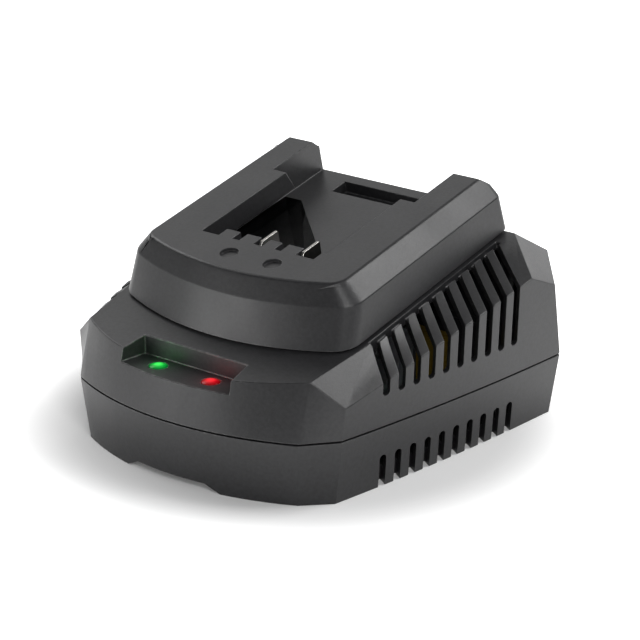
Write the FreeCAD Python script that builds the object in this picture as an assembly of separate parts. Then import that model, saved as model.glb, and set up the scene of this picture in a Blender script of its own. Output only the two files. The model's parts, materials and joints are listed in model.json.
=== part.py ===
"""Power tool battery charger, built as an assembly of separate pieces.

Millimetres, +Z up, +Y towards the rear. The origin is the centre of the footprint, on the surface
that the charger stands on. The front, with the two signal lights, faces -Y. A battery slides into
the cradle from the rear and comes to rest over the two contact blades.
"""
import FreeCAD, Part
import math
import os

from FreeCAD import Placement, Rotation, Vector

os.makedirs("parts", exist_ok=True)

# Walls and clearances shared by all mouldings
wall = 2.4                      # wall of the tray, the housing and the cradle
slip = 0.15                     # clearance round a piece that drops into a pocket or hole
snug = 0.05                     # clearance of a screw in its pilot hole and of a blade in its slot
reveal = 0.5                    # shadow line left open between the tray and the housing
beyond = 5.0                    # how far a cutting shape runs past what it cuts
overrun = 1.0                   # the same, where there is less room
nearly_upright = 0.99           # an edge counts as upright from this share of its direction on

# Plan of the body at the split line between tray and housing
body_length = 122.8             # front crown to rear wall
split_z = 19.7                  # height of the split line
front_corner_x = 41.3           # where the bowed front meets the corner facet
front_bow = 9.6                 # how far the front's crown stands ahead of that corner
facet_run = 9.4                 # length of the corner facet along Y
side_front_x = 49.4             # half width at the end of the facet
side_mid_x = 54.8               # half width a little ahead of the middle
side_mid_y = -6.0
side_rear_x = 59.7              # half width at the rear facet
rear_facet_run = 9.2            # length of the rear facet along Y
rear_corner_x = 51.9            # where the rear facet meets the rear wall
side_break = 17.7               # the side's ridge turns down this far ahead of the rear facet

front_y = -body_length / 2
rear_y = body_length / 2
front_corner_y = front_y + front_bow
facet_end_y = front_corner_y + facet_run
rear_facet_y = rear_y - rear_facet_run
side_break_y = rear_facet_y - side_break

# The tray's foot is drawn in from that plan
foot_in_ends = 1.9
foot_in_side = 2.7
foot_in_corner = 1.6
foot_in_facet = 0.95

# Tilted top of the housing, which carries the cradle
tilt = 12.06                    # degrees, rising to the rear
seat_y = -8.6                   # a point of the top plane on the centre line
seat_z = 44.9
top_set_back = 3.5              # the top's front edge lies this far behind the body's front
top_front_in = 5.1              # its corner lies this far behind the split line's corner
top_front_out = 0.2             # and this far outside it
shoulder_behind = 37.0          # where the top has narrowed to a rim beside the cradle
shoulder_rim = 1.3              # width of the rim there
rear_rim = 2.8                  # width of the rim at the rear of the cradle
top_rear_in = 14.8              # the top's rear edge lies this far ahead of the rear wall

# Ridge between the side wall and the chamfer above it: how far it leans out and lies below the top
ridge_front_lean = 1.0
ridge_front_back = 0.3
ridge_front_drop = 8.24
ridge_middle_lean = 1.42
ridge_middle_y = -1.1
ridge_middle_drop = 6.1
ridge_peak_lean = 1.72
ridge_peak_drop = 5.41
ridge_rear_lean = 1.38
ridge_rear_ahead = 5.7
ridge_rear_drop = 13.17
ridge_corner_in = 3.8
ridge_corner_drop = 11.96
ridge_sink = 0.6                # share of the wall by which the inner ridge lies lower

# Cooling slots
slot_count = 10
slot_pitch = 6.07
slot_first = 35.4               # centre of the first slot, behind the front crown
slot_rake = 34.0                # degrees by which all slots sweep to the rear on their way in
slot_width = 2.4                # square to that sweep
slot_foot_rise = 9.6            # rounded foot of the upper slots, above the split line
slot_rim = 0.8                  # lip left between the cradle and the ends of the upper slots
slot_gutter = 1.5               # width of the gutter that joins those ends
slot_gutter_depth = 1.6
low_slot_width = 2.3
low_slot_top_z = 10.2           # rounded top of the slots in the tray
low_slot_depth = 5.4

# Recess for the two lights in the front edge
lamp_sink = 3.47                # depth of the recess at the front crown
lamp_recess_run = 14.4          # from the front crown to the recess's back
lamp_back_half = 19.4
lamp_front_half = 21.0
lamp_spacing = 19.8
lamp_set_back = 9.4             # centre of the lights, behind the front crown
lamp_r = 2.7
lamp_rise = 0.6                 # how far the shallow domes stand above the recess floor
lamp_collar = 0.4
lamp_collar_t = 1.0

# Tray floor and feet
foot_height = 2.4               # the floor is raised this much inside the rim
rim_width = 6.0
foot_notch_low = 17.5           # half width of the gap between the front feet, at the ground
foot_notch_high = 12.7          # and at its top

# Interlocking rim at the split line
tongue_thick = 1.0
tongue_height = 1.5

# Cradle, in its own frame: u across, v up the slope, h square to the top plane
cradle_height = 17.4
cradle_wall_h = 11.8            # where the outer wall turns into the chamfer
cradle_half = 42.9              # half width at the seat
cradle_length = 90.1            # at the seat
cradle_overhang = 1.35          # how far it stands past the top's rear edge
cradle_bow = 97.0               # radius of the curved front
cradle_draw = 1.1               # the wall leans in by this much up to the chamfer
cradle_chamfer = 5.5            # the chamfer leans in by this much up to the lips
cradle_front_draw = 6.6
cradle_front_chamfer = 4.2
cradle_rear_draw = 0.4
cradle_rear_chamfer = 0.2
cradle_corner_r = (8.0, 7.5, 5.0)
cradle_rear_corner_r = (2.5, 2.5, 1.5)
cradle_least_r = (1.0, 0.4)     # least corner radii of the hollow inside
cradle_rear_bevel = 3.0
shadow_gap = 0.7                # height of the shadow line under the cradle
shadow_depth = 1.2
channel_floor_h = 6.3
channel_half = 27.0             # half width between the grooves under the lips
channel_front_v = -2.2
lip_half = 21.8                 # half width between the lips
lip_under_h = 10.45
lip_end_v = 34.1                # where the lips end, at their top
lip_end_slant = 3.3
finger_depth = 4.1
finger_gaps = ((-21.8, -15.3), (-10.1, -7.4), (-2.1, 1.2), (5.8, 8.2), (13.7, 20.3))
tool_slot_width = 6.0
tool_slot_in = 0.4              # the slot's outer side, inside the groove's side
tool_slot_end_v = 37.2
latch_half = 15.2
latch_v = 46.5
latch_run = 6.8
latch_depth = 3.7
dimple_r = 2.8
dimple_depth = 1.0
dimple_v = -13.5
dimple_u = (-5.3, 10.8)

# Contact blades
blade_u = {"terminal_negative": -0.9, "terminal_positive": 14.7}
blade_thick = 0.9
blade_front_v = -5.2
blade_width = 8.6
blade_top_h = 17.2
blade_nose = 1.4
blade_corner = 0.4
blade_tail = 6.0
blade_tail_width = 2.4

# Terminal block, hung under the cradle floor
block_side = 8.0                # from the blades to the block's ends
block_ahead = 4.4               # from the blades' front edge to the block's front
block_behind = 1.8
block_drop = 7.5                # from the top plane down to the block's underside
block_floor = 2.4
block_ear = 4.6
block_ear_run = 4.8
block_ear_t = 3.0

# Screws: M3 self-tapping for the mouldings and the board, M2.2 for the small pieces
screw_r = 1.5
screw_head_r = 2.8
screw_head_t = 2.0
small_screw_r = 1.05
small_head_r = 2.1
small_head_t = 1.4
drive_width = 0.7
drive_margin = 1.1
drive_floor = 0.6
boss_r = 3.4
small_boss_r = 2.4
column_r = 4.4
column_seat_rise = 3.2          # the screw heads bear this far above the tray's floor
housing_bite = 8.0              # length of screw in the housing's bosses
board_bite = 5.5
small_bite = 3.5
pilot_spare = 2.0               # pilot holes run this far past the screw's tip
front_screw_in_x = 12.9         # housing screws, from the facet's end and from the rear facet's end
front_screw_in_y = 23.9
rear_screw_in_x = 13.7
rear_screw_in_y = 15.9
cradle_screw_margin = 1.8
cradle_screw_ahead = 3.7
cradle_screw_behind = 13.8

# Circuit board
board_t = 1.6
board_stand = 4.2               # height of its posts
board_side_gap = 5.9
board_end_gap = 2.1
board_post_r = 3.4
board_screw_in_x = 4.5
board_screw_in_y = 5.0

# Light board, under the front recess
light_board_t = 1.2
light_board_half = 19.0
light_board_ahead = 3.2         # it reaches this far ahead of the lights
light_board_behind = 8.4
light_post_drop = 4.9
light_post_x = 15.6
light_post_behind = 5.2         # its two posts lie this far behind the lights

# Mains inlet in the rear wall: a two-pin socket
inlet_rise = 11.8               # centre, above the split line
inlet_lobe_r = 4.1
inlet_lobe_x = 3.05
inlet_depth = 10.0
inlet_shell = 1.6
inlet_body_depth = 12.5
inlet_sunk = 0.4                # the inlet's face lies this far inside the rear wall
inlet_flange = 2.0
inlet_flange_over = 3.0
inlet_guide = 1.5
inlet_rest_half = 6.0
pin_r = 1.18
pin_spacing = 8.6
pin_length = 8.8
pin_root_r = 1.4                # thicker where it is moulded into the inlet
pin_tail = 4.0

# Insulated leads
lead_r = 0.9
thin_lead_r = 0.5
lead_bend = 4.0
thin_lead_bend = 3.0
inlet_lead_in = 3.0             # from the board's rear edge
output_lead_run = 6.0
output_lead_y = -12.5
output_lead_x = {"terminal_negative": -4.5, "terminal_positive": 11.0}
output_lead_drop = 7.0
light_lead_pitch = 2.5
light_lead_rise = 3.0           # above the board
light_lead_behind = 6.0         # behind the lights

# Components on the circuit board: centres and sizes
fuse_at = (-18.0, 33.0)
fuse_r = 2.3
fuse_length = 20.0
fuse_cap = 5.0
fuse_cap_over = 0.3
fuse_axis_rise = 5.0
fuse_clip_length = 3.6
fuse_clip_wall = 0.8
fuse_clip_rise = 1.6
varistor_at = (12.0, 33.0)
varistor_r = 5.0
varistor_t = 4.0
film_capacitor_at = (26.0, 31.0)
film_capacitor_size = (16.0, 8.5, 14.0)
film_capacitor_round = 1.0
choke_at = (-27.0, 20.0)
choke_size = (20.0, 5.0, 15.0)
choke_leg = 4.0
choke_wire = 2.2
choke_base_size = (22.0, 12.0, 2.0)
bridge_at = (-6.0, 25.5)
bridge_size = (15.0, 3.5, 11.0)
bulk_capacitor_at = (-29.0, 0.0)
bulk_capacitor_r = 9.0
bulk_capacitor_h = 25.0
can_groove = 0.6
can_groove_z = 3.0
can_groove_t = 1.2
transformer_at = (6.0, 8.0)
core_size = (28.0, 12.0, 21.0)
core_leg = 4.2
core_centre_leg = 8.4
core_stand = 4.0                # underside of the core above the board
bobbin_wall = 1.0
bobbin_flange = 1.2
bobbin_half_y = 12.0
winding_round = 2.0
heatsink_t = 1.5
heatsink_half = 12.0
heatsink_return = 6.0
heatsink_h = 22.0
primary_heatsink_at = (-16.0, 2.0)
secondary_heatsink_at = (27.5, 2.0)
power_body = (4.5, 10.0, 9.0)
power_tab = (1.3, 10.0, 6.5)
power_stand = 4.0
power_hole_r = 1.8
power_hole_down = 2.8
power_leg = (0.6, 0.9)
power_leg_pitch = 2.54
output_capacitor_at = ((20.8, -16.5), (31.0, -16.5))
output_capacitor_r = 5.0
output_capacitor_h = 16.0
filter_choke_at = (13.0, -24.5)
filter_choke_r = 5.5
filter_choke_h = 10.0
filter_choke_waist = 2.2
filter_choke_flange = 1.5
ceramic_capacitor_at = (-32.0, -17.0)
ceramic_capacitor_r = 4.0
ceramic_capacitor_t = 3.5
disc_stand = 2.0
disc_leg_r = 0.4
disc_leg_half = 2.5
controller_x = -13.0
controller_in = 7.0             # from the board's front edge
controller_size = (10.3, 7.5, 2.4)
optocoupler_at = (-21.5, -16.0)
optocoupler_size = (4.7, 6.5, 3.4)
chip_foot = (0.45, 1.5, 0.25)
chip_pitch = 1.27
chip_gap = 0.1
header_in = 4.0                 # from the board's front edge
header_size = (9.5, 6.0, 6.2)


def tilt_cos():
    return math.cos(math.radians(tilt))


def tilt_sin():
    return math.sin(math.radians(tilt))


def top_z(y, inset=0.0):
    """Height of the tilted top plane at y, or of a plane sunk square to it by inset."""
    return seat_z + ((y - seat_y) * tilt_sin() - inset) / tilt_cos()


def to_body(shape):
    """Moves a shape from the cradle's own frame to the body's frame."""
    moved = shape.copy()
    moved.Placement = Placement(Vector(0, seat_y, seat_z), Rotation(Vector(1, 0, 0), tilt))
    return moved


def point_to_body(u, v, h):
    y = seat_y + v * tilt_cos() - h * tilt_sin()
    z = seat_z + v * tilt_sin() + h * tilt_cos()
    return (u, y, z)


# Places worked out from the sizes above
slot_foot_z = split_z + slot_foot_rise
lamp_y = front_y + lamp_set_back
lamp_floor_z = top_z(front_y + top_set_back) - lamp_sink
lamp_xs = (-lamp_spacing / 2, lamp_spacing / 2)
light_board_top_z = lamp_floor_z - wall - light_post_drop
light_board_low_z = light_board_top_z - light_board_t
light_post_y = lamp_y + light_post_behind
tray_floor_z = foot_height + wall
column_seat_z = tray_floor_z + column_seat_rise
board_low_z = tray_floor_z + board_stand
board_top_z = board_low_z + board_t
inlet_z = split_z + inlet_rise
inlet_face_y = rear_y - inlet_sunk
inlet_flange_y = rear_y - wall
inlet_flange_half_x = inlet_lobe_x + inlet_lobe_r + inlet_shell + inlet_flange_over
inlet_flange_half_z = inlet_lobe_r + inlet_shell + inlet_flange_over
top_rear_v = (rear_y - top_rear_in - seat_y) / tilt_cos()
cradle_rear_v = top_rear_v + cradle_overhang
cradle_front_v = cradle_rear_v - cradle_length
finger_root_v = channel_front_v - finger_depth
blade_rear_v = blade_front_v + blade_width
block_low_h = -block_drop
block_seat_h = channel_floor_h - wall
block_front_v = blade_front_v - block_ahead
block_rear_v = blade_rear_v + block_behind
block_left_u = blade_u["terminal_negative"] - block_side
block_right_u = blade_u["terminal_positive"] + block_side
block_screw_v = block_front_v - block_ear_run / 2
block_screw_u = (block_left_u + block_ear / 2, block_right_u - block_ear / 2)
front_screw_y = front_y + front_screw_in_y
rear_screw_y = rear_y - rear_screw_in_y
front_screw_x = side_front_x - front_screw_in_x
rear_screw_x = side_rear_x - rear_screw_in_x
housing_screw_at = [(x, front_screw_y) for x in (-front_screw_x, front_screw_x)]
housing_screw_at += [(x, rear_screw_y) for x in (-rear_screw_x, rear_screw_x)]
cradle_screw_x = channel_half + wall + boss_r + cradle_screw_margin
cradle_screw_v = (finger_root_v - cradle_screw_ahead, cradle_rear_v - cradle_screw_behind)
cradle_screw_at = [(x, v) for v in cradle_screw_v for x in (-cradle_screw_x, cradle_screw_x)]
board_half_x = side_front_x - board_side_gap
board_front_y = front_screw_y + column_r + board_end_gap
board_rear_y = rear_screw_y - column_r - board_end_gap
controller_at = (controller_x, board_front_y + controller_in)
header_at = (0.0, board_front_y + header_in)
board_screw_x = board_half_x - board_screw_in_x
board_screw_y = (board_front_y + board_screw_in_y, board_rear_y - board_screw_in_y)
board_screw_at = [(x, y) for y in board_screw_y for x in (-board_screw_x, board_screw_x)]
light_screw_at = [(-light_post_x, light_post_y), (light_post_x, light_post_y)]


def box(x0, x1, y0, y1, z0, z1):
    return Part.makeBox(x1 - x0, y1 - y0, z1 - z0, Vector(x0, y0, z0))


def block_on(z, at, size):
    """Box that stands at height z, centred over at."""
    x, y = at
    sx, sy, sz = size
    return box(x - sx / 2, x + sx / 2, y - sy / 2, y + sy / 2, z, z + sz)


def rod(radius, x, y, z0, z1):
    return Part.makeCylinder(radius, z1 - z0, Vector(x, y, z0), Vector(0, 0, 1))


def rod_along_y(radius, x, z, y0, y1):
    return Part.makeCylinder(radius, y1 - y0, Vector(x, y0, z), Vector(0, 1, 0))


def rod_along_x(radius, y, z, x0, x1):
    return Part.makeCylinder(radius, x1 - x0, Vector(x0, y, z), Vector(1, 0, 0))


def polygon_face(corners):
    return Part.Face(Part.makePolygon(corners + corners[:1]))


def prism_x(points, x0, x1):
    """Prism along X over a polygon given as (y, z) pairs."""
    return polygon_face([Vector(x0, y, z) for y, z in points]).extrude(Vector(x1 - x0, 0, 0))


def prism_y(points, y0, y1):
    """Prism along Y over a polygon given as (x, z) pairs."""
    return polygon_face([Vector(x, y0, z) for x, z in points]).extrude(Vector(0, y1 - y0, 0))


def prism_z(points, z0, z1):
    """Prism along Z over a polygon given as (x, y) pairs."""
    return polygon_face([Vector(x, y, z0) for x, y in points]).extrude(Vector(0, 0, z1 - z0))


def mirrored(shape):
    return shape.mirror(Vector(0, 0, 0), Vector(1, 0, 0))


def both_sides(shape):
    return [shape, mirrored(shape)]


def union(shapes):
    return shapes[0].fuse(shapes[1:]).removeSplitter()


def round_upright_edges(solid, radius):
    upright = [e for e in solid.Edges if abs(e.tangentAt(e.FirstParameter).z) > nearly_upright]
    return solid.makeFillet(radius, upright)


def line(a, b):
    return Part.LineSegment(a, b).toShape()


def arc(a, middle, b):
    return Part.Arc(a, middle, b).toShape()


def flip(p):
    return Vector(-p.x, p.y, p.z)


def side_x(y):
    """Half width of the body at the split line: a gentle curve through three half widths."""
    y0, y1, y2 = facet_end_y, side_mid_y, rear_facet_y
    a = side_front_x * (y - y1) * (y - y2) / ((y0 - y1) * (y0 - y2))
    b = side_mid_x * (y - y0) * (y - y2) / ((y1 - y0) * (y1 - y2))
    c = side_rear_x * (y - y0) * (y - y1) / ((y2 - y0) * (y2 - y1))
    return a + b + c


def outward(a, b):
    """Unit normal to the right of the way from a to b."""
    dx, dy = b[0] - a[0], b[1] - a[1]
    length = math.hypot(dx, dy)
    return (dy / length, -dx / length)


def corner_shift(before, corner, after, inset):
    """Moves a corner of a plan inwards so that both walls beside it move by inset."""
    n1 = outward(before, corner)
    n2 = outward(corner, after)
    scale = inset / (1.0 + n1[0] * n2[0] + n1[1] * n2[1])
    return (corner[0] - scale * (n1[0] + n2[0]), corner[1] - scale * (n1[1] + n2[1]))


def inset_plan(points, inset):
    """Insets the right half of a plan, given from the front corner round to the rear corner."""
    first = (-points[0][0], points[0][1])
    last = (-points[-1][0], points[-1][1])
    chain = [first] + list(points) + [last]
    return [corner_shift(chain[i - 1], chain[i], chain[i + 1], inset) for i in range(1, len(chain) - 1)]


def foot_shrink(draw):
    """Share by which the sides draw in towards the foot. Draw is 0 at the split line, 1 at the ground."""
    return 1.0 - draw * foot_in_side / side_rear_x


def plan_points(draw, inset):
    """Corners of the plan, right half."""
    shrink = foot_shrink(draw)
    front = (front_corner_x - draw * foot_in_corner, front_corner_y + draw * foot_in_ends)
    side_front = (side_front_x * shrink, facet_end_y)
    side_turn = (side_x(side_break_y) * shrink, side_break_y)
    side_rear = (side_rear_x * shrink, rear_facet_y - draw * foot_in_facet)
    rear = (rear_corner_x - draw * foot_in_corner, rear_y - draw * foot_in_ends)
    return inset_plan([front, side_front, side_turn, side_rear, rear], inset)


def side_curve(a, b, draw, inset):
    """Arc along the side from a to b, through the side's own curve half way between them."""
    y = (a.y + b.y) / 2
    return arc(a, Vector(side_x(y) * foot_shrink(draw) - inset, y, a.z), b)


def plan_wire(draw, inset, z):
    """Closed outline of the body at height z, with a bowed front and sides."""
    p = [Vector(x, y, z) for x, y in plan_points(draw, inset)]
    crown = Vector(0, front_y + draw * foot_in_ends + inset, z)
    right = [line(p[0], p[1]), side_curve(p[1], p[2], draw, inset), side_curve(p[2], p[3], draw, inset),
             line(p[3], p[4])]
    left = [mirrored(edge) for edge in right]
    edges = [arc(flip(p[0]), crown, p[0]), line(p[4], flip(p[4]))] + right + left
    return Part.Wire(Part.__sortEdges__(edges))


def plan_block(z0, z1, inset):
    """Block of the body's plan between two heights of the tray, with drawn-in sides."""
    lower = plan_wire(1.0 - z0 / split_z, inset, z0)
    upper = plan_wire(1.0 - z1 / split_z, inset, z1)
    return Part.makeLoft([lower, upper], True, True)


def plan_ring(outer_inset, inner_inset, z0, z1):
    """Upright ring that follows the plan at the split line."""
    outer = Part.Face(plan_wire(0.0, outer_inset, z0)).extrude(Vector(0, 0, z1 - z0))
    inner = Part.Face(plan_wire(0.0, inner_inset, z0)).extrude(Vector(0, 0, z1 - z0))
    return outer.cut(inner)


def patch(a0, a1, b0, b1):
    """Ruled four-sided face between the straight edges a0-a1 and b0-b1."""
    return Part.makeRuledSurface(line(a0, a1), line(b0, b1))


def ridge_points(inset):
    """Front end, peak, rear end and rear corner of the ridge, and its middle, right side."""
    front_end_y = facet_end_y + ridge_front_back
    rear_end_y = rear_facet_y - ridge_rear_ahead
    plan = [(side_front_x + ridge_front_lean, front_end_y),
            (side_x(side_break_y) + ridge_peak_lean, side_break_y),
            (side_x(rear_end_y) + ridge_rear_lean, rear_end_y),
            (rear_corner_x - ridge_corner_in, rear_y)]
    drops = [ridge_front_drop, ridge_peak_drop, ridge_rear_drop, ridge_corner_drop]
    sunk = ridge_sink * inset
    ends = [Vector(q[0], q[1], top_z(p[1]) - drop - sunk)
            for p, q, drop in zip(plan, inset_plan(plan, inset), drops)]
    middle_x = side_x(ridge_middle_y) + ridge_middle_lean - inset
    middle = Vector(middle_x, ridge_middle_y, top_z(ridge_middle_y) - ridge_middle_drop - sunk)
    return ends, middle


def housing_block(inset, low_z):
    """Solid body above the split line, drawn in by inset. Its underside is at low_z."""
    low = [Vector(x, y, low_z) for x, y in plan_points(0.0, inset)]
    top_plan = [(front_corner_x + top_front_out, front_corner_y + top_front_in),
                (cradle_half + shoulder_rim, front_y + shoulder_behind),
                (cradle_half + rear_rim, rear_y - top_rear_in)]
    top = [Vector(x, y, top_z(y, inset)) for x, y in inset_plan(top_plan, inset)]
    ridge, ridge_middle = ridge_points(inset)
    ridge_curve = arc(ridge[0], ridge_middle, ridge[1])
    low_side = side_curve(low[1], low[2], 0.0, inset)
    low_side_rear = side_curve(low[2], low[3], 0.0, inset)
    right = [patch(low[0], low[1], top[0], ridge[0]),
             Part.makeRuledSurface(low_side, ridge_curve),
             Part.makeRuledSurface(low_side_rear, line(ridge[1], ridge[2])),
             patch(low[3], low[4], ridge[2], ridge[3]),
             polygon_face([top[0], ridge[0], top[1]]),
             Part.makeRuledSurface(line(top[1], top[2]), ridge_curve),
             patch(ridge[1], ridge[2], top[2], ridge[3])]
    faces = right + [mirrored(face) for face in right]

    crown_y = front_y + top_set_back + inset
    front_low = arc(flip(low[0]), Vector(0, front_y + inset, low_z), low[0])
    front_top = arc(flip(top[0]), Vector(0, crown_y, top_z(crown_y, inset)), top[0])
    faces.append(Part.makeRuledSurface(front_low, front_top))
    faces.append(patch(low[4], flip(low[4]), ridge[3], flip(ridge[3])))
    faces.append(patch(ridge[3], flip(ridge[3]), top[2], flip(top[2])))
    top_right = [line(top[0], top[1]), line(top[1], top[2])]
    top_edges = top_right + [mirrored(edge) for edge in top_right] + [front_top, line(top[2], flip(top[2]))]
    low_right = [line(low[0], low[1]), low_side, low_side_rear, line(low[3], low[4])]
    low_edges = low_right + [mirrored(edge) for edge in low_right] + [front_low, line(low[4], flip(low[4]))]
    for edges in (top_edges, low_edges):
        faces.append(Part.Face(Part.Wire(Part.__sortEdges__(edges))))
    shell = Part.makeShell(faces)
    shell.sewShape()
    solid = Part.Solid(shell)
    if solid.Volume < 0:
        solid.reverse()
    return solid


def lamp_recess(grow):
    """Space of the light recess, grown by a wall on its back, floor and ends."""
    back_y = front_y + lamp_recess_run + grow
    flare = (lamp_front_half - lamp_back_half) / lamp_recess_run
    front_half = lamp_front_half + flare * beyond + grow
    back_half = lamp_back_half - flare * grow + grow
    plan = [(-front_half, front_y - beyond), (front_half, front_y - beyond),
            (back_half, back_y), (-back_half, back_y)]
    return prism_z(plan, lamp_floor_z - grow, top_z(rear_y))


def slot_ys():
    return [front_y + slot_first + slot_pitch * k for k in range(slot_count)]


def slot_half_y(width):
    """Half of a slot's width, measured along Y."""
    return width / 2 / math.cos(math.radians(slot_rake))


def slot_sweep(y, x):
    """How far to the rear a slot that meets the side wall at y has swept at x."""
    return (side_x(y) - x) * math.tan(math.radians(slot_rake))


def swept_slot(y, near, width, z0, z1, round_z):
    """Upright slot that meets the side wall at y, runs in to x = near and has one end round."""
    half = slot_half_y(width)
    far = side_rear_x + beyond
    near_y = y + slot_sweep(y, near)
    far_y = y + slot_sweep(y, far)
    plan = [(near, near_y - half), (far, far_y - half), (far, far_y + half), (near, near_y + half)]
    inwards = Vector(-math.cos(math.radians(slot_rake)), math.sin(math.radians(slot_rake)), 0)
    start = Vector(side_x(y), y, round_z) - inwards * beyond
    return prism_z(plan, z0, z1).fuse(Part.makeCylinder(width / 2, 2 * beyond, start, inwards))


def upper_slot(y):
    """Slot in the side wall and the chamfer, round at its foot."""
    round_z = slot_foot_z + slot_width / 2
    return swept_slot(y, cradle_half + slot_rim, slot_width, round_z, top_z(rear_y), round_z)


def lower_slot(y):
    """Slot in the side of the tray, round at its top and open at the foot."""
    round_z = low_slot_top_z - low_slot_width / 2
    return swept_slot(y, side_x(y) - low_slot_depth, low_slot_width, -beyond, round_z, round_z)


def gutter():
    """Space of the gutter beside the cradle, from the first upper slot's end to the last one's."""
    near = cradle_half + slot_rim
    far = near + slot_gutter
    first, last = slot_ys()[0], slot_ys()[-1]
    y0 = first + slot_sweep(first, far) - slot_half_y(slot_width)
    y1 = last + slot_sweep(last, near) + slot_half_y(slot_width)
    v0, v1 = (y0 - seat_y) / tilt_cos(), (y1 - seat_y) / tilt_cos()
    return to_body(box(near, far, v0, v1, -slot_gutter_depth, beyond))


def inlet_outline(grow, y0, y1):
    """The inlet's outer form, grown all round: two round ends joined by flat sides."""
    r = inlet_lobe_r + inlet_shell + grow
    ends = [rod_along_y(r, x, inlet_z, y0, y1) for x in (-inlet_lobe_x, inlet_lobe_x)]
    return union(ends + [box(-inlet_lobe_x, inlet_lobe_x, y0, y1, inlet_z - r, inlet_z + r)])


def inlet_guides():
    """Ribs behind the rear wall: a slot on each side of the flange and a stop above it."""
    inner = inlet_flange_half_x + slip
    lip_y = inlet_flange_y - inlet_flange - slip
    top = inlet_z + inlet_flange_half_z + slip
    side = box(inner, inner + inlet_guide, lip_y - inlet_guide, inlet_flange_y, split_z, top)
    lip = box(inner - inlet_guide, inner + inlet_guide, lip_y - inlet_guide, lip_y, split_z, top)
    stop = box(-inner - inlet_guide, inner + inlet_guide, lip_y - inlet_guide, inlet_flange_y,
               top, top + inlet_guide)
    return both_sides(side) + both_sides(lip) + [stop]


def upper_housing():
    """Upper half of the body, with the light recess, cooling slots, cradle window and screw bosses."""
    high = top_z(rear_y)
    body = housing_block(0.0, split_z)
    cavity = housing_block(wall, split_z - overrun)
    keep = [lamp_recess(wall)]
    keep += [rod(boss_r, x, y, split_z, high) for x, y in housing_screw_at]
    keep += [rod(small_boss_r, x, y, light_board_top_z, lamp_floor_z) for x, y in light_screw_at]
    keep += inlet_guides()
    window = box(-channel_half + slip, channel_half - slip, block_screw_v - block_ear_run,
                 tool_slot_end_v + wall, -beyond, beyond)
    cuts = [cavity.cut(keep), lamp_recess(0.0), to_body(window)]
    for y in slot_ys():
        cuts += both_sides(upper_slot(y))
    cuts += both_sides(gutter())
    cuts += [to_body(rod(screw_r + slip, x, v, -beyond, beyond)) for x, v in cradle_screw_at]
    cuts += [rod(lamp_r + slip, x, lamp_y, split_z, high) for x in lamp_xs]
    groove_in = wall - tongue_thick - slip
    cuts.append(plan_ring(groove_in, wall + overrun, split_z - overrun, split_z + tongue_height))
    cuts.append(inlet_outline(slip, inlet_flange_y - beyond, rear_y + beyond))
    pilot_top = split_z + housing_bite + pilot_spare
    cuts += [rod(screw_r + snug, x, y, split_z - overrun, pilot_top) for x, y in housing_screw_at]
    small_top = light_board_top_z + small_bite + pilot_spare
    cuts += [rod(small_screw_r + snug, x, y, split_z, small_top) for x, y in light_screw_at]
    return body.cut(cuts)


def base_tray():
    """Lower half of the body: raised floor, rim, board posts, screw columns, slots and tongue."""
    rim_top = split_z - reveal
    body = plan_block(0.0, rim_top, 0.0)
    keep = [rod(column_r, x, y, 0.0, split_z) for x, y in housing_screw_at]
    keep += [rod(board_post_r, x, y, 0.0, board_low_z) for x, y in board_screw_at]
    cavity = plan_block(tray_floor_z, split_z + overrun, wall).cut(keep)
    under = plan_block(-overrun, foot_height, rim_width)
    slant = (foot_notch_low - foot_notch_high) / foot_height
    notch_half = foot_notch_low + slant
    notch = prism_y([(-notch_half, -overrun), (-foot_notch_high, foot_height),
                     (foot_notch_high, foot_height), (notch_half, -overrun)],
                    front_y - beyond, front_y + rim_width + beyond)
    cuts = [cavity, under, notch]
    for y in slot_ys():
        cuts += both_sides(lower_slot(y))
    for x, y in board_screw_at:
        cuts.append(rod(screw_r + snug, x, y, foot_height + overrun, board_low_z + overrun))
    tray = body.cut(cuts)
    adds = [plan_ring(wall - tongue_thick, wall, rim_top - overrun, split_z + tongue_height)]
    adds += [rod(column_r, x, y, rim_top - overrun, split_z) for x, y in housing_screw_at]
    adds.append(box(-inlet_rest_half, inlet_rest_half, inlet_flange_y - inlet_flange, inlet_flange_y,
                    tray_floor_z, inlet_z - inlet_flange_half_z))
    holes = []
    for x, y in housing_screw_at:
        holes.append(rod(screw_r + slip, x, y, -overrun, split_z + overrun))
        holes.append(rod(screw_head_r + 2 * slip, x, y, -overrun, column_seat_z))
    return union([tray] + adds).cut(holes)


def cradle_levels():
    """Half width, front and rear of the cradle's outer form at its seat, at the chamfer and at the top."""
    half = [cradle_half, cradle_half - cradle_draw, cradle_half - cradle_draw - cradle_chamfer]
    front = [cradle_front_v, cradle_front_v + cradle_front_draw,
             cradle_front_v + cradle_front_draw + cradle_front_chamfer]
    rear = [cradle_rear_v, cradle_rear_v - cradle_rear_draw,
            cradle_rear_v - cradle_rear_draw - cradle_rear_chamfer]
    return list(zip(half, front, rear))


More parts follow.
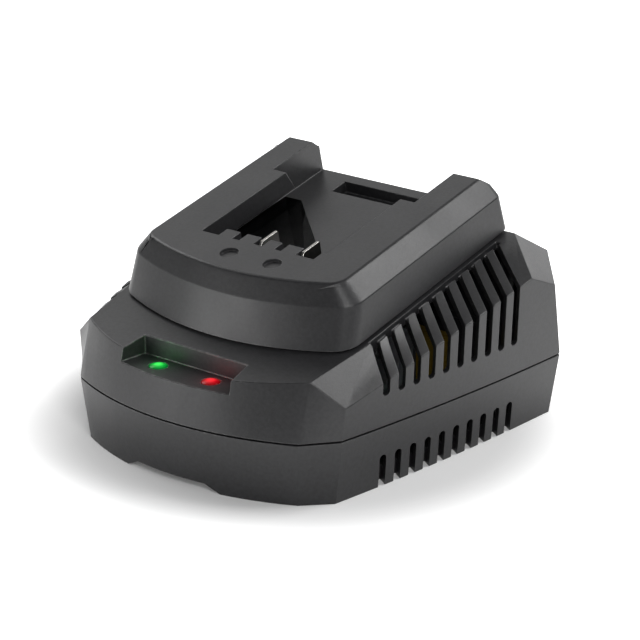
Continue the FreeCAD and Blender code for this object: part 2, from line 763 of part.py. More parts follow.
def cradle_loop(level, inset, h):
    """Closed outline of the cradle at height h: bowed front, straight sides, rounded corners."""
    half, front, rear = cradle_levels()[level]
    half -= inset
    front += inset
    rear -= inset
    bow = cradle_bow - inset
    r = max(cradle_corner_r[level] - inset, cradle_least_r[0])
    rr = max(cradle_rear_corner_r[level] - inset, cradle_least_r[1])
    bow_v = front + bow
    corner_v = bow_v - math.sqrt((bow - r) ** 2 - (half - r) ** 2)
    turn = math.atan2(corner_v - bow_v, half - r)

    def p(u, v):
        return Vector(u, v, h)
    on_bow = p(bow * math.cos(turn), bow_v + bow * math.sin(turn))
    corner_middle = p(half - r + r * math.cos(turn / 2), corner_v + r * math.sin(turn / 2))
    rear_reach = rr * math.sqrt(0.5)
    rear_middle = p(half - rr + rear_reach, rear - rr + rear_reach)
    right = [arc(on_bow, corner_middle, p(half, corner_v)),
             line(p(half, corner_v), p(half, rear - rr)),
             arc(p(half, rear - rr), rear_middle, p(half - rr, rear))]
    across = [arc(flip(on_bow), p(0, front), on_bow), line(p(half - rr, rear), p(rr - half, rear))]
    edges = across + right + [mirrored(edge) for edge in right]
    return Part.Wire(Part.__sortEdges__(edges))


def cradle_shell(inset, low_h, top_h):
    """Cradle's outer form drawn in by inset, between two heights above its seat."""
    heights = (low_h, cradle_wall_h, top_h)
    loops = [cradle_loop(level, inset, h) for level, h in enumerate(heights)]
    return Part.makeLoft(loops, True, True)


def channel_cuts():
    """Everything that the battery and its latch slide into, and the rear bevel of the two rails."""
    over = cradle_height + beyond
    rear = cradle_rear_v + beyond
    bevel_v = cradle_levels()[2][2]
    bevel_h = cradle_height - cradle_rear_bevel
    bevel = prism_x([(bevel_v - cradle_rear_bevel, cradle_height), (bevel_v, bevel_h), (rear, bevel_h),
                     (rear, over), (bevel_v - cradle_rear_bevel, over)], -cradle_half, cradle_half)
    channel = box(-lip_half, lip_half, channel_front_v, rear, channel_floor_h, over)
    grooves = box(-channel_half, channel_half, channel_front_v, rear, channel_floor_h, lip_under_h)
    behind_lips = prism_x([(lip_end_v + lip_end_slant, lip_under_h), (lip_end_v, cradle_height),
                           (lip_end_v, over), (rear, over), (rear, lip_under_h)],
                          -channel_half, channel_half)
    cuts = [bevel, channel, grooves, behind_lips]
    for u0, u1 in finger_gaps:
        cuts.append(box(u0, u1, finger_root_v, channel_front_v + overrun, channel_floor_h, over))
    slot_u = channel_half - tool_slot_in
    cuts += both_sides(box(slot_u - tool_slot_width, slot_u, channel_front_v, tool_slot_end_v,
                           -beyond, channel_floor_h + overrun))
    latch_floor_h = channel_floor_h - latch_depth
    cuts.append(box(-latch_half, latch_half, latch_v, latch_v + latch_run, latch_floor_h, over))
    return cuts


def battery_cradle():
    """Cradle that the battery slides into: two overhanging lips, a floor and a slotted front bar."""
    over = cradle_height + beyond
    rear = cradle_rear_v + beyond
    body = cradle_shell(0.0, 0.0, cradle_height)
    cuts = channel_cuts()
    for u in dimple_u:
        cuts.append(rod(dimple_r, u, dimple_v, cradle_height - dimple_depth, over))
    blade_half = blade_thick / 2 + slip
    for u in blade_u.values():
        cuts.append(box(u - blade_half, u + blade_half, blade_front_v - slip, blade_rear_v + slip,
                        -beyond, channel_floor_h + overrun))

    walled = channel_half + wall
    keep = [box(-walled, walled, finger_root_v - wall, rear, block_seat_h, over),
            box(-latch_half - wall, latch_half + wall, latch_v - wall, rear, -beyond, over)]
    keep += [rod(boss_r, x, v, -beyond, over) for x, v in cradle_screw_at]
    keep += [rod(small_boss_r, u, block_screw_v, block_seat_h, over) for u in block_screw_u]
    cuts.append(cradle_shell(wall, -beyond, cradle_height - wall).cut(keep))
    outer_rim = Part.Face(cradle_loop(0, -overrun, 0.0)).extrude(Vector(0, 0, shadow_gap))
    inner_face = Part.Face(cradle_loop(0, shadow_depth, -overrun))
    inner_rim = inner_face.extrude(Vector(0, 0, shadow_gap + 2 * overrun))
    cuts.append(outer_rim.cut(inner_rim))
    cuts += [rod(screw_r + snug, x, v, -beyond, cradle_wall_h) for x, v in cradle_screw_at]
    pilot_top = block_seat_h + small_bite + pilot_spare
    cuts += [rod(small_screw_r + snug, u, block_screw_v, -beyond, pilot_top) for u in block_screw_u]
    return to_body(body.cut(cuts))


def terminal_block():
    """Moulded holder that hangs under the cradle's floor and grips the two blades."""
    over = block_seat_h + beyond
    ear_low = block_seat_h - block_ear_t
    parts = [box(block_left_u, block_right_u, block_front_v, block_rear_v, block_low_h, block_seat_h)]
    for u in block_screw_u:
        parts.append(box(u - block_ear / 2, u + block_ear / 2, block_front_v - block_ear_run,
                         block_front_v + wall, ear_low, block_seat_h))
    half = blade_thick / 2 + snug
    front = blade_front_v - snug
    cuts = []
    for u in blade_u.values():
        cuts.append(box(u - half, u + half, front, blade_rear_v + snug, block_low_h + block_floor, over))
        cuts.append(box(u - half, u + half, front, blade_front_v + blade_tail_width + snug,
                        block_low_h - beyond, over))
    cuts += [rod(small_screw_r + slip, u, block_screw_v, block_low_h - beyond, over) for u in block_screw_u]
    return to_body(union(parts).cut(cuts))


def blade(name):
    """Flat contact blade in the front bar's slot, its nose bevelled, with a tail for the lead."""
    u = blade_u[name]
    tail_v = blade_front_v + blade_tail_width
    shoulder_h = block_low_h + block_floor
    profile = [(blade_front_v, block_low_h - blade_tail),
               (tail_v, block_low_h - blade_tail),
               (tail_v, shoulder_h),
               (blade_rear_v, shoulder_h),
               (blade_rear_v, blade_top_h - blade_corner),
               (blade_rear_v - blade_corner, blade_top_h),
               (blade_front_v + blade_nose, blade_top_h),
               (blade_front_v, blade_top_h - blade_nose)]
    return to_body(prism_x(profile, u - blade_thick / 2, u + blade_thick / 2))


def screw(x, y, bearing, bite, r, head_r, head_t, way):
    """Cross-head screw. Its head bears at that height, its shank runs up for way 1 and down for way -1."""
    far = bearing + way * bite
    face = bearing - way * head_t
    shank = rod(r, x, y, min(bearing, far), max(bearing, far))
    head = rod(head_r, x, y, min(bearing, face), max(bearing, face))
    depth = head_t - drive_floor
    z0, z1 = sorted((face, face + way * depth))
    reach = head_r - drive_margin
    half = drive_width / 2
    cross = [box(x - reach, x + reach, y - half, y + half, z0, z1),
             box(x - half, x + half, y - reach, y + reach, z0, z1)]
    return head.fuse(shank).cut(cross)


def housing_screws():
    bite = split_z + housing_bite - column_seat_z
    return [screw(x, y, column_seat_z, bite, screw_r, screw_head_r, screw_head_t, 1)
            for x, y in housing_screw_at]


def board_screws():
    bite = board_t + board_bite
    return [screw(x, y, board_top_z, bite, screw_r, screw_head_r, screw_head_t, -1)
            for x, y in board_screw_at]


def cradle_screws():
    bite = wall + cradle_wall_h - pilot_spare
    return [to_body(screw(x, v, -wall, bite, screw_r, screw_head_r, screw_head_t, 1))
            for x, v in cradle_screw_at]


def terminal_block_screws():
    bite = block_ear_t + small_bite
    return [to_body(screw(u, block_screw_v, block_seat_h - block_ear_t, bite,
                          small_screw_r, small_head_r, small_head_t, 1)) for u in block_screw_u]


def light_board_screws():
    bite = light_board_t + small_bite
    return [screw(x, y, light_board_low_z, bite, small_screw_r, small_head_r, small_head_t, 1)
            for x, y in light_screw_at]


def signal_light(x):
    """Round light with a collar below and a shallow dome that stands above the recess floor."""
    collar = rod(lamp_r + lamp_collar, x, lamp_y, light_board_top_z, light_board_top_z + lamp_collar_t)
    barrel = rod(lamp_r, x, lamp_y, light_board_top_z, lamp_floor_z)
    dome_r = (lamp_r ** 2 + lamp_rise ** 2) / (2 * lamp_rise)
    crown_z = lamp_floor_z + lamp_rise
    ball = Part.makeSphere(dome_r, Vector(x, lamp_y, crown_z - dome_r))
    dome = ball.common(rod(lamp_r, x, lamp_y, lamp_floor_z - overrun, crown_z))
    return union([collar, barrel, dome])


def light_green():
    return signal_light(lamp_xs[0])


def light_red():
    return signal_light(lamp_xs[1])


def light_board():
    front, back = lamp_y - light_board_ahead, lamp_y + light_board_behind
    board = box(-light_board_half, light_board_half, front, back,
                light_board_low_z, light_board_top_z)
    low, high = light_board_low_z - overrun, light_board_top_z + overrun
    return board.cut([rod(small_screw_r + slip, x, y, low, high)
                      for x, y in light_screw_at])


def circuit_board():
    board = box(-board_half_x, board_half_x, board_front_y, board_rear_y, board_low_z, board_top_z)
    return board.cut([rod(screw_r + slip, x, y, board_low_z - beyond, board_top_z + beyond)
                      for x, y in board_screw_at])


def mains_inlet():
    """Two-pin socket: a shell through the rear wall, with a flange that stands behind it."""
    back_y = inlet_face_y - inlet_body_depth
    flange = box(-inlet_flange_half_x, inlet_flange_half_x, inlet_flange_y - inlet_flange, inlet_flange_y,
                 inlet_z - inlet_flange_half_z, inlet_z + inlet_flange_half_z)
    body = union([inlet_outline(0.0, back_y, inlet_face_y), flange])
    cuts = [rod_along_y(inlet_lobe_r, x, inlet_z, inlet_face_y - inlet_depth, inlet_face_y + beyond)
            for x in (-inlet_lobe_x, inlet_lobe_x)]
    cuts += [rod_along_y(pin_root_r + snug, x, inlet_z, back_y - beyond, inlet_face_y)
             for x in (-pin_spacing / 2, pin_spacing / 2)]
    return body.cut(cuts)


def inlet_pins():
    """Two round pins with domed ends. Their tails pass through the socket's back."""
    floor_y = inlet_face_y - inlet_depth
    tail_y = inlet_face_y - inlet_body_depth - pin_tail
    tip_y = floor_y + pin_length - pin_r
    pins = []
    for x in (-pin_spacing / 2, pin_spacing / 2):
        root = rod_along_y(pin_root_r, x, inlet_z, tail_y, floor_y)
        free = rod_along_y(pin_r, x, inlet_z, floor_y, tip_y)
        tip = Part.makeSphere(pin_r, Vector(x, tip_y, inlet_z))
        pins.append(union([root, free, tip]))
    return pins


def lead(points, radius, bend):
    """Round lead along straight runs, joined by tangent arcs."""
    corners = [Vector(*p) for p in points]
    edges = []
    start = corners[0]
    for before, here, after in zip(corners, corners[1:], corners[2:]):
        d1 = (here - before).normalize()
        d2 = (after - here).normalize()
        half_turn = math.acos(d1.dot(d2)) / 2
        back = bend * math.tan(half_turn)
        inward = (d2 - d1).normalize()
        middle = here + inward * (bend / math.cos(half_turn) - bend)
        edges.append(line(start, here - d1 * back))
        edges.append(arc(here - d1 * back, middle, here + d2 * back))
        start = here + d2 * back
    edges.append(line(start, corners[-1]))
    ring = Part.Wire(Part.makeCircle(radius, corners[0], corners[1] - corners[0]))
    return Part.Wire(edges).makePipeShell([ring], True, False)


def inlet_leads():
    tail_y = inlet_face_y - inlet_body_depth - pin_tail
    down_y = board_rear_y - inlet_lead_in
    return [lead([(x, tail_y, inlet_z), (x, down_y, inlet_z), (x, down_y, board_top_z)], lead_r, lead_bend)
            for x in (-pin_spacing / 2, pin_spacing / 2)]


def output_lead(name):
    """Lead from a blade's tail down to the circuit board."""
    u = blade_u[name]
    tail_v = blade_front_v + blade_tail_width / 2
    tail_h = block_low_h - blade_tail
    x = output_lead_x[name]
    return lead([point_to_body(u, tail_v, tail_h), point_to_body(u, tail_v, tail_h - output_lead_run),
                 (x, output_lead_y, board_top_z + output_lead_drop), (x, output_lead_y, board_top_z)],
                lead_r, thin_lead_bend)


def output_lead_positive():
    return output_lead("terminal_positive")


def output_lead_negative():
    return output_lead("terminal_negative")


def light_leads():
    """Three thin leads from the light board to its header on the circuit board."""
    y = lamp_y + light_lead_behind
    z = board_top_z + light_lead_rise
    header_front = header_at[1] - header_size[1] / 2
    return [lead([(x, y, light_board_low_z), (x, y, z), (x, header_front, z)], thin_lead_r, thin_lead_bend)
            for x in (-light_lead_pitch, 0.0, light_lead_pitch)]


def light_header():
    return block_on(board_top_z, header_at, header_size)


def fuse():
    """Glass fuse with a metal cap on each end."""
    x, y = fuse_at
    z = board_top_z + fuse_axis_rise
    end = fuse_length / 2
    tube = rod_along_x(fuse_r, y, z, x - end, x + end)
    caps = [rod_along_x(fuse_r + fuse_cap_over, y, z, x0, x0 + fuse_cap)
            for x0 in (x - end, x + end - fuse_cap)]
    return union([tube] + caps)


def fuse_clips():
    """Two sprung clips that hold the fuse's caps."""
    x, y = fuse_at
    z = board_top_z + fuse_axis_rise
    r = fuse_r + fuse_cap_over + snug
    half = r + fuse_clip_wall
    clips = []
    for side in (-1, 1):
        middle = x + side * (fuse_length - fuse_cap) / 2
        x0 = middle - fuse_clip_length / 2
        x1 = middle + fuse_clip_length / 2
        clip = box(x0, x1, y - half, y + half, board_top_z, z + fuse_clip_rise)
        gape_half = r - fuse_clip_wall
        gape = box(x0 - overrun, x1 + overrun, y - gape_half, y + gape_half, z, z + beyond)
        clips.append(clip.cut([rod_along_x(r, y, z, x0 - overrun, x1 + overrun), gape]))
    return clips


def disc_component(at, radius, thickness):
    """Coated disc that stands on two wires."""
    x, y = at
    z = board_top_z + disc_stand + radius
    disc = rod_along_y(radius, x, z, y - thickness / 2, y + thickness / 2)
    legs = [rod(disc_leg_r, x + side * disc_leg_half, y, board_top_z, z) for side in (-1, 1)]
    return union([disc] + legs)


def varistor():
    return disc_component(varistor_at, varistor_r, varistor_t)


def ceramic_capacitor():
    return disc_component(ceramic_capacitor_at, ceramic_capacitor_r, ceramic_capacitor_t)


def film_capacitor():
    body = block_on(board_top_z, film_capacitor_at, film_capacitor_size)
    return round_upright_edges(body, film_capacitor_round)


def choke_base():
    return block_on(board_top_z, choke_at, choke_base_size)


def choke_core():
    """Closed frame of ferrite that stands on the choke's base."""
    sx, sy, sz = choke_size
    z = board_top_z + choke_base_size[2]
    frame = block_on(z, choke_at, choke_size)
    window = (sx - 2 * choke_leg, sy + overrun, sz - 2 * choke_leg)
    return frame.cut(block_on(z + choke_leg, choke_at, window))


def choke_windings():
    """One winding round each upright leg of the ferrite frame."""
    x, y = choke_at
    sx, sy, sz = choke_size
    z = board_top_z + choke_base_size[2] + choke_leg + snug
    height = sz - 2 * choke_leg - 2 * snug
    windings = []
    for side in (-1, 1):
        leg_at = (x + side * (sx - choke_leg) / 2, y)
        hole = (choke_leg + 2 * snug, sy + 2 * snug, height)
        full = (hole[0] + 2 * choke_wire, hole[1] + 2 * choke_wire, height)
        outer = round_upright_edges(block_on(z, leg_at, full), winding_round)
        windings.append(outer.cut(block_on(z, leg_at, hole)))
    return windings


def row_of_legs(x, y, count, pitch, size, z0, z1):
    """Flat legs in a row along Y."""
    first = y - pitch * (count - 1) / 2
    return [box(x - size[0] / 2, x + size[0] / 2, first + pitch * k - size[1] / 2,
                first + pitch * k + size[1] / 2, z0, z1) for k in range(count)]


def bridge_rectifier():
    """Flat rectifier that stands on four legs."""
    x, y = bridge_at
    sx, sy, sz = bridge_size
    low = board_top_z + power_stand
    body = block_on(low, bridge_at, bridge_size)
    legs = []
    for k in range(4):
        leg_x = x + (k - 1.5) * sx / 4
        legs.append(block_on(board_top_z, (leg_x, y), (power_leg[1], power_leg[0], power_stand + overrun)))
    return union([body] + legs)


def can_capacitor(at, radius, height):
    """Aluminium can with a crimped groove near its foot."""
    x, y = at
    can = rod(radius, x, y, board_top_z, board_top_z + height)
    z0 = board_top_z + can_groove_z
    z1 = z0 + can_groove_t
    groove = rod(radius + overrun, x, y, z0, z1).cut(rod(radius - can_groove, x, y, z0, z1))
    return can.cut(groove)


def bulk_capacitor():
    return can_capacitor(bulk_capacitor_at, bulk_capacitor_r, bulk_capacitor_h)


def output_capacitors():
    return [can_capacitor(at, output_capacitor_r, output_capacitor_h) for at in output_capacitor_at]


def transformer_core():
    """Ferrite core: an outer frame and a centre leg that passes through the bobbin."""
    x, y = transformer_at
    sx, sy, sz = core_size
    z = board_top_z + core_stand
    window_x = (sx - 2 * core_leg - core_centre_leg) / 2
    window_z = sz - 2 * core_leg
    windows = []
    for side in (-1, 1):
        at = (x + side * (core_centre_leg + window_x) / 2, y)
        windows.append(block_on(z + core_leg, at, (window_x, sy + overrun, window_z)))
    return block_on(z, transformer_at, core_size).cut(windows)


def bobbin_space():
    """Lowest and highest point of the bobbin, and the half width that it may fill in the core's windows."""
    low = board_top_z + core_stand + core_leg + slip
    high = board_top_z + core_stand + core_size[2] - core_leg - slip
    half = core_size[0] / 2 - core_leg - slip
    return low, high, half


def transformer_bobbin():
    """Spool on the core's centre leg, with two rails that stand on the board."""
    low, high, half = bobbin_space()
    height = high - low
    hole = (core_centre_leg + 2 * slip, core_size[1] + 2 * slip)
    tube = (hole[0] + 2 * bobbin_wall, hole[1] + 2 * bobbin_wall, height)
    flange = (2 * half, 2 * bobbin_half_y, bobbin_flange)
    parts = [block_on(low, transformer_at, tube), block_on(low, transformer_at, flange),
             block_on(high - bobbin_flange, transformer_at, flange)]
    x, y = transformer_at
    inner = core_size[1] / 2 + slip
    for side in (-1, 1):
        y0, y1 = sorted((y + side * inner, y + side * bobbin_half_y))
        parts.append(box(x - half, x + half, y0, y1, board_top_z, low + bobbin_flange))
    return union(parts).cut(block_on(low - beyond, transformer_at, (hole[0], hole[1], height + 2 * beyond)))


def transformer_winding():
    low, high, half = bobbin_space()
    low += bobbin_flange
    height = high - bobbin_flange - low
    hole = (core_centre_leg + 2 * (slip + bobbin_wall), core_size[1] + 2 * (slip + bobbin_wall), height)
    full = (2 * (half - slip), 2 * (bobbin_half_y - slip), height)
    outer = round_upright_edges(block_on(low, transformer_at, full), winding_round)
    return outer.cut(block_on(low, transformer_at, hole))


def heatsink(at, way):
    """Upright plate with a return at each end. Way says to which side the returns point."""
    x, y = at
    face = x - way * heatsink_t / 2
    back = x + way * heatsink_t / 2
    tip = x + way * heatsink_return
    y0, y1 = y - heatsink_half, y + heatsink_half
    plan = [(face, y0), (tip, y0), (tip, y0 + heatsink_t), (back, y0 + heatsink_t),
            (back, y1 - heatsink_t), (tip, y1 - heatsink_t), (tip, y1), (face, y1)]
    plate = prism_z(plan, board_top_z, board_top_z + heatsink_h)
    x0, x1 = sorted((face, back))
    return plate.cut(rod_along_x(screw_r + snug, y, power_hole_z(), x0 - overrun, x1 + overrun))


def power_hole_z():
    """Height of the screw through a power component's tab."""
    return board_top_z + power_stand + power_body[2] + power_tab[2] - power_hole_down


def power_component(at, way):
    """Power component with its tab against the heatsink and three legs down to the board."""
    x, y = at
    face = x - way * heatsink_t / 2
    front = face - way * power_body[0]
    tab_front = face - way * power_tab[0]
    low = board_top_z + power_stand
    top = low + power_body[2]
    half = power_body[1] / 2
    x0, x1 = sorted((face, front))
    tab0, tab1 = sorted((face, tab_front))
    leg_x = (x0 + x1) / 2
    parts = [box(x0, x1, y - half, y + half, low, top),
             box(tab0, tab1, y - half, y + half, low, top + power_tab[2])]
    parts += row_of_legs(leg_x, y, 3, power_leg_pitch, power_leg, board_top_z, low + overrun)
    return union(parts).cut(rod_along_x(power_hole_r, y, power_hole_z(), x0 - overrun, x1 + overrun))


def primary_heatsink():
    return heatsink(primary_heatsink_at, -1)


def secondary_heatsink():
    return heatsink(secondary_heatsink_at, 1)


def switching_transistor():
    return power_component(primary_heatsink_at, -1)


def output_diode():
    return power_component(secondary_heatsink_at, 1)


def heatsink_screws():
    """Screws through the tabs of the two power components into their heatsinks."""
    screws = []
    for at, way in ((primary_heatsink_at, -1), (secondary_heatsink_at, 1)):
        bearing = at[0] - way * (heatsink_t / 2 + power_tab[0])
        tip = at[0] + way * (heatsink_t / 2 + overrun)
        head = bearing - way * screw_head_t
        x0, x1 = sorted((bearing, tip))
        h0, h1 = sorted((bearing, head))
        screws.append(union([rod_along_x(screw_r, at[1], power_hole_z(), x0, x1),
                             rod_along_x(screw_head_r, at[1], power_hole_z(), h0, h1)]))
    return screws


def filter_choke():
    """Drum of ferrite with a waist full of wire."""
    x, y = filter_choke_at
    top = board_top_z + filter_choke_h
    waist = rod(filter_choke_r - filter_choke_waist / 2, x, y, board_top_z, top)
    flanges = [rod(filter_choke_r, x, y, z0, z0 + filter_choke_flange)
               for z0 in (board_top_z, top - filter_choke_flange)]
    return union([waist] + flanges)


def chip(at, size, count):
    """Moulded chip with a row of flat feet on each side."""
    x, y = at
    sx, sy, sz = size
    parts = [block_on(board_top_z + chip_gap, at, size)]
    for side in (-1, 1):
        foot_y = y + side * (sy / 2 + chip_foot[1] / 4)
        for k in range(count):
            foot_x = x + (k - (count - 1) / 2) * chip_pitch
            parts.append(block_on(board_top_z, (foot_x, foot_y), chip_foot))
    return union(parts)


def controller_chip():
    return chip(controller_at, controller_size, 8)


def optocoupler():
    return chip(optocoupler_at, optocoupler_size, 2)


def terminal_positive():
    return blade("terminal_positive")


def terminal_negative():
    return blade("terminal_negative")


nodes = [upper_housing, base_tray, battery_cradle, terminal_block, terminal_positive, terminal_negative,
         light_green, light_red, light_board, light_header, circuit_board, mains_inlet, inlet_pins,
         fuse, fuse_clips, varistor, film_capacitor, choke_base, choke_core, choke_windings,
         bridge_rectifier, bulk_capacitor, primary_heatsink, switching_transistor,
         transformer_core, transformer_bobbin, transformer_winding, secondary_heatsink, output_diode,
         output_capacitors, filter_choke, ceramic_capacitor, controller_chip, optocoupler,
         inlet_leads, output_lead_positive, output_lead_negative, light_leads,
         housing_screws, board_screws, cradle_screws, terminal_block_screws, light_board_screws,
         heatsink_screws]

for make in nodes:
    made = make()
    solids = made if isinstance(made, list) else [made]
    shape = Part.makeCompound(solids) if len(solids) > 1 else solids[0]
    shape.exportStep("parts/" + make.__name__ + ".step")
    print(make.__name__, shape.isValid(), len(shape.Solids), round(shape.Volume, 1))
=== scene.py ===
# %% [markdown]
# This lesson dresses a power tool battery charger. Its pieces come ready made at their real size, so
# the work here is on what the eye sees: softened moulding edges, textured charcoal plastic, plated
# contacts and two lit lamps. The pieces are loaded first, because everything else is placed by them.

# %% Load the pieces
import json
import math

import bmesh
import bpy
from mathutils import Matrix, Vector


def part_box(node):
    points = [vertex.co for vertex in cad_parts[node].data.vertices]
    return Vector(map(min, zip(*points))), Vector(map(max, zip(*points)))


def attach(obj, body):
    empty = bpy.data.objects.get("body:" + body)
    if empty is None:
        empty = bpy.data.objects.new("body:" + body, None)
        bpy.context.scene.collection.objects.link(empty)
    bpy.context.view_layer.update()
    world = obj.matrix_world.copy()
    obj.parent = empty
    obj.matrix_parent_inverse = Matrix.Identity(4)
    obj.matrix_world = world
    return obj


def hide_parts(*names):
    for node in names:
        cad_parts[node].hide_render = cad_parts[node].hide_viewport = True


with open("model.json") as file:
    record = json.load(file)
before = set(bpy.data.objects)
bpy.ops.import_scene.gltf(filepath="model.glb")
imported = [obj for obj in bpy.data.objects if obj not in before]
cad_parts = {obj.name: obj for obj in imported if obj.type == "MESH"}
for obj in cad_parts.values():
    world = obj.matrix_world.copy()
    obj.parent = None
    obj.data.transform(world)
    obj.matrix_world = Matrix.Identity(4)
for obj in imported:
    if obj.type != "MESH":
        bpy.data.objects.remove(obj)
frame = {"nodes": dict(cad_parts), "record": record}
nodes = frame["nodes"]
slot_of = {part["node"]: part["material_slot"] for part in frame["record"]["subparts"]}
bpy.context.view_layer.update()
MM = 0.001

# %% [markdown]
# The camera stands in front and to the right of the charger and looks down at it. A long lens from
# over half a metre away keeps the upright edges nearly parallel, as a product photographer's does.
# It could also be aimed with a Track To constraint, but two plain angles are easier to read.

# %% Camera
camera_data = bpy.data.cameras.new("camera")
camera_data.sensor_width = 36.0
camera_data.lens = 137.75
camera = bpy.data.objects.new("camera", camera_data)
camera.location = (0.43165, -0.5368, 0.2888)
camera.rotation_euler = (math.radians(69.547), 0.0, math.radians(38.269))
bpy.context.scene.collection.objects.link(camera)
bpy.context.scene.camera = camera
bpy.context.scene.view_settings.view_transform = "Standard"
print("camera lens", camera_data.lens, "mm")

# %% [markdown]
# Shader maths reads best as plain sums. This small class wraps a socket, so that an expression such
# as 1 - mask adds its Math node by itself. The same could be wired by hand in the editor, but a
# finish written as a formula is shorter and can be reused for every plastic and metal piece.

# %% Signals that can be added and multiplied
class Signal:
    """A socket of a finish, used like a number."""

    def __init__(self, finish, socket):
        self.finish = finish
        self.socket = socket

    def __add__(self, other):
        return self.finish.math("ADD", self, other)

    def __sub__(self, other):
        return self.finish.math("SUBTRACT", self, other)

    def __rsub__(self, other):
        return self.finish.math("SUBTRACT", other, self)

    def __mul__(self, other):
        return self.finish.math("MULTIPLY", self, other)

    def __truediv__(self, other):
        return self.finish.math("DIVIDE", self, other)

    __radd__ = __add__
    __rmul__ = __mul__


# %% A finish: one material and its nodes
class Finish:
    """A material while its nodes are joined up."""

    def __init__(self, name, settings):
        self.material = bpy.data.materials.new(name)
        self.material.use_nodes = True
        self.tree = self.material.node_tree
        self.shader = self.tree.nodes["Principled BSDF"]
        self.place = self.node("TexCoord", output="Object")
        for socket, value in settings.items():
            self.feed(self.shader.inputs[socket], value)

    def feed(self, socket, value):
        if isinstance(value, Signal):
            self.tree.links.new(value.socket, socket)
        elif socket.type == "RGBA":
            socket.default_value = (*value, 1.0)
        else:
            socket.default_value = value

    def node(self, kind, settings=None, values=None, output=0):
        made = self.tree.nodes.new("ShaderNode" + kind)
        for name, value in (settings or {}).items():
            if name == "stops":
                self.set_stops(made.color_ramp, value)
            else:
                setattr(made, name, value)
        for name, value in (values or {}).items():
            self.feed(made.inputs[name], value)
        return Signal(self, made.outputs[output])

    def set_stops(self, ramp, stops):
        """Stops are (place, brightness) pairs from left to right."""
        while len(ramp.elements) < len(stops):
            ramp.elements.new(1.0)
        for element, (place, grey) in zip(ramp.elements, stops):
            element.position = place
            element.color = (grey, grey, grey, 1.0)

    def math(self, operation, first, second):
        return self.node("Math", {"operation": operation}, {0: first, 1: second})

    def set(self, socket, value):
        self.feed(self.shader.inputs[socket], value)

    def noise(self, size, detail=2.0, place=None, stretch=None):
        """Soft noise with features about size metres wide, brought to 0 to 1."""
        place = place or self.place
        if stretch:
            place = self.node("Mapping", {}, {"Vector": place, "Scale": stretch}, "Vector")
        return self.node("TexNoise", {}, {"Vector": place, "Scale": 1 / size, "Detail": detail})

    def ramp(self, signal, stops):
        return self.node("ValToRGB", {"stops": stops}, {"Fac": signal})

    def blend(self, factor, first, second):
        """Colour that goes from first to second as factor goes from 0 to 1."""
        return self.node("Mix", {"data_type": "RGBA"}, {0: factor, 6: first, 7: second}, 2)

    def bump(self, height, depth, strength=1.0):
        """Relief depth metres high where height goes from 0 to 1."""
        relief = self.node("Bump", {}, {"Height": height, "Distance": depth, "Strength": strength})
        self.set("Normal", relief)

    def edges(self, radius):
        """1 on the sharp edges of a piece and 0 on its flats."""
        rounded = self.node("Bevel", {"samples": 4}, {"Radius": radius})
        flat = self.node("NewGeometry", output="Normal")
        along = self.node("VectorMath", {"operation": "DOT_PRODUCT"}, {0: rounded, 1: flat}, "Value")
        return self.ramp(1 - along, ((0.006, 0.0), (0.05, 1.0)))


# %% [markdown]
# The charger stands on a pale sweep. The floor shows white to the camera and to mirror-like
# surfaces, but it is a middling grey for the light that it throws back, so the dark plastic keeps its
# depth. Near the charger it takes the shadow, and farther out it turns an even white.

# %% Floor
FLOOR_HALF = 3.0
FADE_FROM, FADE_TO = 0.062, 0.102  # metres from the middle over which the shadow gives way to white
NEAR_GLOW = 0.09
SHOWN_GREY, HIDDEN_GREY = 0.82, 0.30
bpy.ops.object.select_all(action="DESELECT")
bpy.ops.mesh.primitive_plane_add(size=2 * FLOOR_HALF, location=(0.0, 0.0, 0.0))
floor = bpy.context.object
floor.name = "floor"


def looked_at(finish):
    """1 for rays that show the background: straight, mirrored or through glass."""
    straight = finish.node("LightPath", output="Is Camera Ray")
    mirrored = finish.node("LightPath", output="Is Glossy Ray")
    through = finish.node("LightPath", output="Is Transmission Ray")
    return finish.math("MAXIMUM", finish.math("MAXIMUM", straight, mirrored), through)


def floor_finish():
    finish = Finish("pale_sweep", {})
    distance = finish.node("VectorMath", {"operation": "LENGTH"}, {0: finish.place}, "Value")
    far = finish.node("MapRange", {"interpolation_type": "SMOOTHSTEP"},
                      {"Value": distance, "From Min": FADE_FROM, "From Max": FADE_TO})
    glow = finish.node("Emission", {}, {"Color": finish.blend(far, (NEAR_GLOW,) * 3, (1.0,) * 3)})
    paper = finish.node("BsdfDiffuse", {}, {"Color": (SHOWN_GREY,) * 3})
    shown = finish.node("AddShader", {}, {0: glow, 1: paper})
    hidden = finish.node("BsdfDiffuse", {}, {"Color": (HIDDEN_GREY,) * 3})
    mixed = finish.node("MixShader", {}, {0: looked_at(finish), 1: hidden, 2: shown})
    finish.tree.links.new(mixed.socket, finish.tree.nodes["Material Output"].inputs["Surface"])
    return finish.material


floor.data.materials.append(floor_finish())
print("floor", 2 * FLOOR_HALF, "m square")

# %% [markdown]
# Dark plastic is drawn by what it mirrors, so each lamp stands where some faces mirror it. A low
# strip in front and a lamp at the left give the front walls their sheen, and a big lamp behind at the
# left lays one over the tilted tops. A strong lamp behind at the right picks out the chamfers by the
# slots, a weak strip behind the charger does so for the rear, and one in front at the right for the
# cradle's corner. One even dome of light would be simpler, but would leave all these faces alike.
# The room is bright near the horizon and dim overhead, so faces that lean back go dark.

# %% Lamps and room
AIM = Vector((0.0, 0.0, 0.035))


